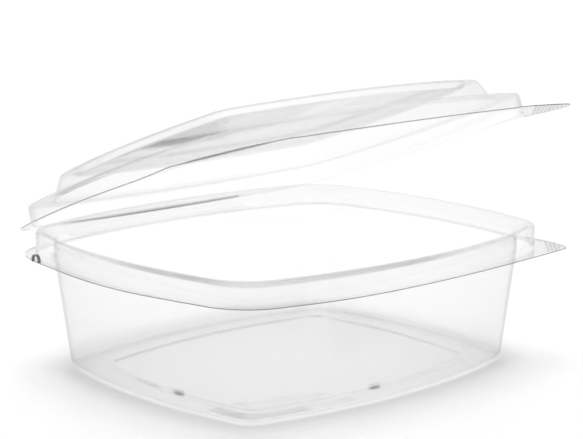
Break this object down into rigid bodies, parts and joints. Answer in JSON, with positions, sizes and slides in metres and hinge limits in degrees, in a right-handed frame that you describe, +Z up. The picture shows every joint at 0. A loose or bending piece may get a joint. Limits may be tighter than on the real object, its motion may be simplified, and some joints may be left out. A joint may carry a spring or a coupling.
{
  "type": "takeaway meal container",
  "caption": "Clear hinged-lid takeaway meal container, empty: bowed rectangular tub with a rim and flange, and a shallow domed lid folding on its back edge.",
  "frame": {"origin": "centre of the flat underside of the tub floor, on the table", "axes": "+X along the long sides, to the right seen from the opening side; +Y towards the hinge at the back; +Z up"},
  "size_m": [0.1818, 0.1646, 0.113],
  "materials": {
    "tub_plastic": "clear smooth thermoformed plastic sheet",
    "lid_plastic": "clear smooth thermoformed plastic sheet"
  },
  "bodies": {
    "tub": {"tub": "tub_plastic"},
    "lid": {"lid": "lid_plastic"}
  },
  "joints": [
    {"name": "lid_hinge", "type": "hinge", "parent": "tub", "child": "lid", "pos_m": [0, 0.086, 0.04935], "axis": [-1, 0, 0], "range_deg": [-19.6, 160.4], "stiffness_Nm_per_rad": 0.03, "springref_deg": 21.2}
  ]
}
